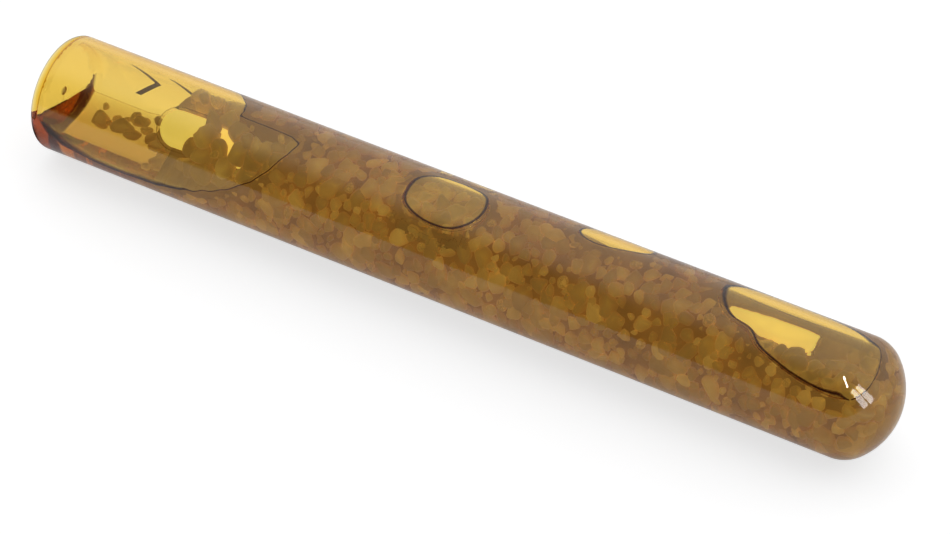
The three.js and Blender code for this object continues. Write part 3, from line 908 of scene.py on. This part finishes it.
def make_paste(trees, material):
    last = TIP_X - WALL - PASTE_DEPTH
    xs = np.append(np.arange(PASTE_START, last - PASTE_STEP, PASTE_STEP), last - 0.1 * MM)
    angles = [2 * math.pi * k / PASTE_COLUMNS for k in range(PASTE_COLUMNS)]
    verts, faces = [(PASTE_START - 0.5 * MM, 0, AXIS_Z - 1.0 * MM)], []
    for x in xs:
        for angle in angles:
            r = paste_radius(x, angle, trees) if x < last - 0.2 * MM else 0.2 * MM
            verts.append((x, -r * math.cos(angle), AXIS_Z + r * math.sin(angle)))
    verts.append((last, 0, AXIS_Z))
    for k in range(PASTE_COLUMNS):
        n = (k + 1) % PASTE_COLUMNS
        faces.append((0, 1 + k, 1 + n))
        for row in range(len(xs) - 1):
            a, b = 1 + row * PASTE_COLUMNS, 1 + (row + 1) * PASTE_COLUMNS
            faces.append((a + k, b + k, b + n, a + n))
        end = 1 + (len(xs) - 1) * PASTE_COLUMNS
        faces.append((end + k, len(verts) - 1, end + n))
    paste = mesh_object("cloudy_resin", verts, faces)
    face_outward(paste)
    paste.data.materials.append(material)
    return paste


# --- Assembly ----------------------------------------------------------------------------
def make_camera():
    data = bpy.data.cameras.new("camera")
    data.lens, data.sensor_width = CAMERA_LENS, 36
    data.clip_start, data.clip_end = 0.01, 50
    camera = link(bpy.data.objects.new("camera", data))
    axis = Vector((0, 0, AXIS_Z))
    camera.location = axis + CAMERA_FROM_AXIS
    aim = axis + CAMERA_AIM - camera.location
    camera.rotation_euler = aim.to_track_quat("-Z", "Y").to_euler()
    bpy.context.scene.camera = camera


def window(name, start, end, width, power):
    """A bright upright pane, from start to end, that only shows as a reflection in the glass."""
    start, end = Vector(start), Vector(end)
    data = bpy.data.lights.new(name, "AREA")
    data.shape, data.size, data.size_y = "RECTANGLE", width, (end - start).length
    data.energy = power
    lamp = link(bpy.data.objects.new(name, data))
    lamp.visible_diffuse = False
    middle = (start + end) / 2
    back = (middle - Vector((TIP_X, 0, AXIS_Z))).normalized()
    side = (end - start).cross(back).normalized()
    up = back.cross(side)
    lamp.matrix_world = Matrix.Translation(middle) @ Matrix((side, up, back)).transposed().to_4x4()


def make_stage():
    size = FLOOR_HALF_SIZE
    corners = [(-size, -size, 0), (size, -size, 0), (size, size, 0), (-size, size, 0)]
    floor = mesh_object("floor", corners, [(0, 1, 2, 3)])
    floor.location.z = -0.02 * MM
    m, nodes, links = new_material("pale_floor")
    out = nodes.new("ShaderNodeOutputMaterial")
    bsdf = nodes.new("ShaderNodeBsdfPrincipled")
    bsdf.inputs["Base Color"].default_value = (0.45, 0.45, 0.45, 1)
    bsdf.inputs["Roughness"].default_value = 0.9
    bsdf.inputs["Emission Color"].default_value = (1, 1, 1, 1)
    rays = nodes.new("ShaderNodeLightPath")
    is_glossy, is_reflection = rays.outputs["Is Glossy Ray"], rays.outputs["Is Reflection Ray"]
    mirrored = maths(nodes, links, "MULTIPLY", is_glossy, is_reflection)
    glow = maths(nodes, links, "MULTIPLY_ADD", mirrored, MIRRORED_FLOOR_GLOW - FLOOR_GLOW, FLOOR_GLOW)
    links.new(glow, bsdf.inputs["Emission Strength"])
    links.new(bsdf.outputs[0], out.inputs["Surface"])
    floor.data.materials.append(m)


def make_world():
    """A studio that is white towards +Y and dark towards -Y, with a plain pale backdrop."""
    world = bpy.data.worlds.new("studio")
    bpy.context.scene.world = world
    world.use_nodes = True
    nodes, links = world.node_tree.nodes, world.node_tree.links
    back, out = nodes["Background"], nodes["World Output"]
    plain = nodes.new("ShaderNodeBackground")
    plain.inputs["Color"].default_value = (0.93, 0.93, 0.93, 1)
    where = nodes.new("ShaderNodeTexCoord")
    split = nodes.new("ShaderNodeSeparateXYZ")
    ramp = nodes.new("ShaderNodeValToRGB")
    ramp.color_ramp.interpolation = "EASE"
    stops = ramp.color_ramp.elements
    stops[0].position, stops[0].color = 0.18, (0.035, 0.03, 0.035, 1)
    stops[1].position, stops[1].color = 0.52, (1.0, 1.0, 1.0, 1)
    place = nodes.new("ShaderNodeMapRange")
    place.inputs["From Min"].default_value = -1
    rays = nodes.new("ShaderNodeLightPath")
    mix = nodes.new("ShaderNodeMixShader")
    links.new(where.outputs["Generated"], split.inputs[0])
    links.new(split.outputs["Y"], place.inputs["Value"])
    links.new(place.outputs[0], ramp.inputs["Fac"])
    links.new(ramp.outputs["Color"], back.inputs["Color"])
    back.inputs["Strength"].default_value = ROOM_STRENGTH
    links.new(rays.outputs["Is Camera Ray"], mix.inputs["Fac"])
    links.new(back.outputs[0], mix.inputs[1])
    links.new(plain.outputs[0], mix.inputs[2])
    links.new(mix.outputs[0], out.inputs["Surface"])


def ride_all(pieces):
    for piece, slot, nodes in pieces:
        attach(piece, "root")
        if nodes:
            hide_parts(*nodes)


# The last colour of each is the dark colour of its painted shade.
glass_material = optical("amber_glass", (0.915, 0.765, 0.05), 1370, (0.97, 0.95, 0.88), (0.12, 0.05, 0.05))
resin_material = optical("honey_resin", (0.66, 0.30, 0.0), 260, (1, 1, 1), (0.50, 0.23, 0.09))
ampoule_glass = optical("ampoule_glass", (0.97, 0.95, 0.85), 300, (0.97, 0.95, 0.9), (0.35, 0.18, 0.06))
quartz = quartz_material()
# The powder and the cloudy resin glow: their emission is painted light that lifts their shaded sides.
powder = plain_material("hardener_powder", (0.98, 0.86, 0.34), 0.9, 3000, 0.08, 0.1, 0.8)
ink = plain_material("print_ink", (0.035, 0.02, 0.015), 0.45, 1500, 0.3)
paste = plain_material("cloudy_resin", [1.2 * c for c in HAZE], 0.7, 260, 1 / 3, 0.0, PAINTED_GLOW)

make_camera()
cutters = air_cutters()
trees = [BVHTree.FromObject(c, bpy.context.evaluated_depsgraph_get()) for c in cutters]
ride_all([
    (make_glass(trees, glass_material), "amber_glass", ["outer_tube", "end_seal"]),
    (make_ampoule(trees, ampoule_glass), "ampoule_glass", ["ampoule_tube", "ampoule_cap"]),
    (make_powder(powder), "hardener_powder", ["hardener_powder"]),
    (make_paste(trees, paste), "resin", []),
    (make_resin(cutters, resin_material), "resin", ["resin_fill"]),
])
ride_all([(bed, "quartz", []) for bed in make_bed(trees[1:], quartz)])
for name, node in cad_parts.items():
    node.data.materials.clear()
    node.data.materials.append(ink if name.startswith("printed") else quartz)
    if name.startswith("quartz_grain"):
        round_grain(node)
make_stage()
make_world()
for pane in WINDOWS:
    window(*pane)

scene = bpy.context.scene
scene.view_settings.view_transform = "Standard"
scene.cycles.max_bounces = 20
scene.cycles.transmission_bounces = 16
scene.cycles.transparent_max_bounces = 32
scene.cycles.diffuse_bounces = 4
scene.cycles.glossy_bounces = 6
scene.cycles.caustics_refractive = False
scene.cycles.use_denoising = True
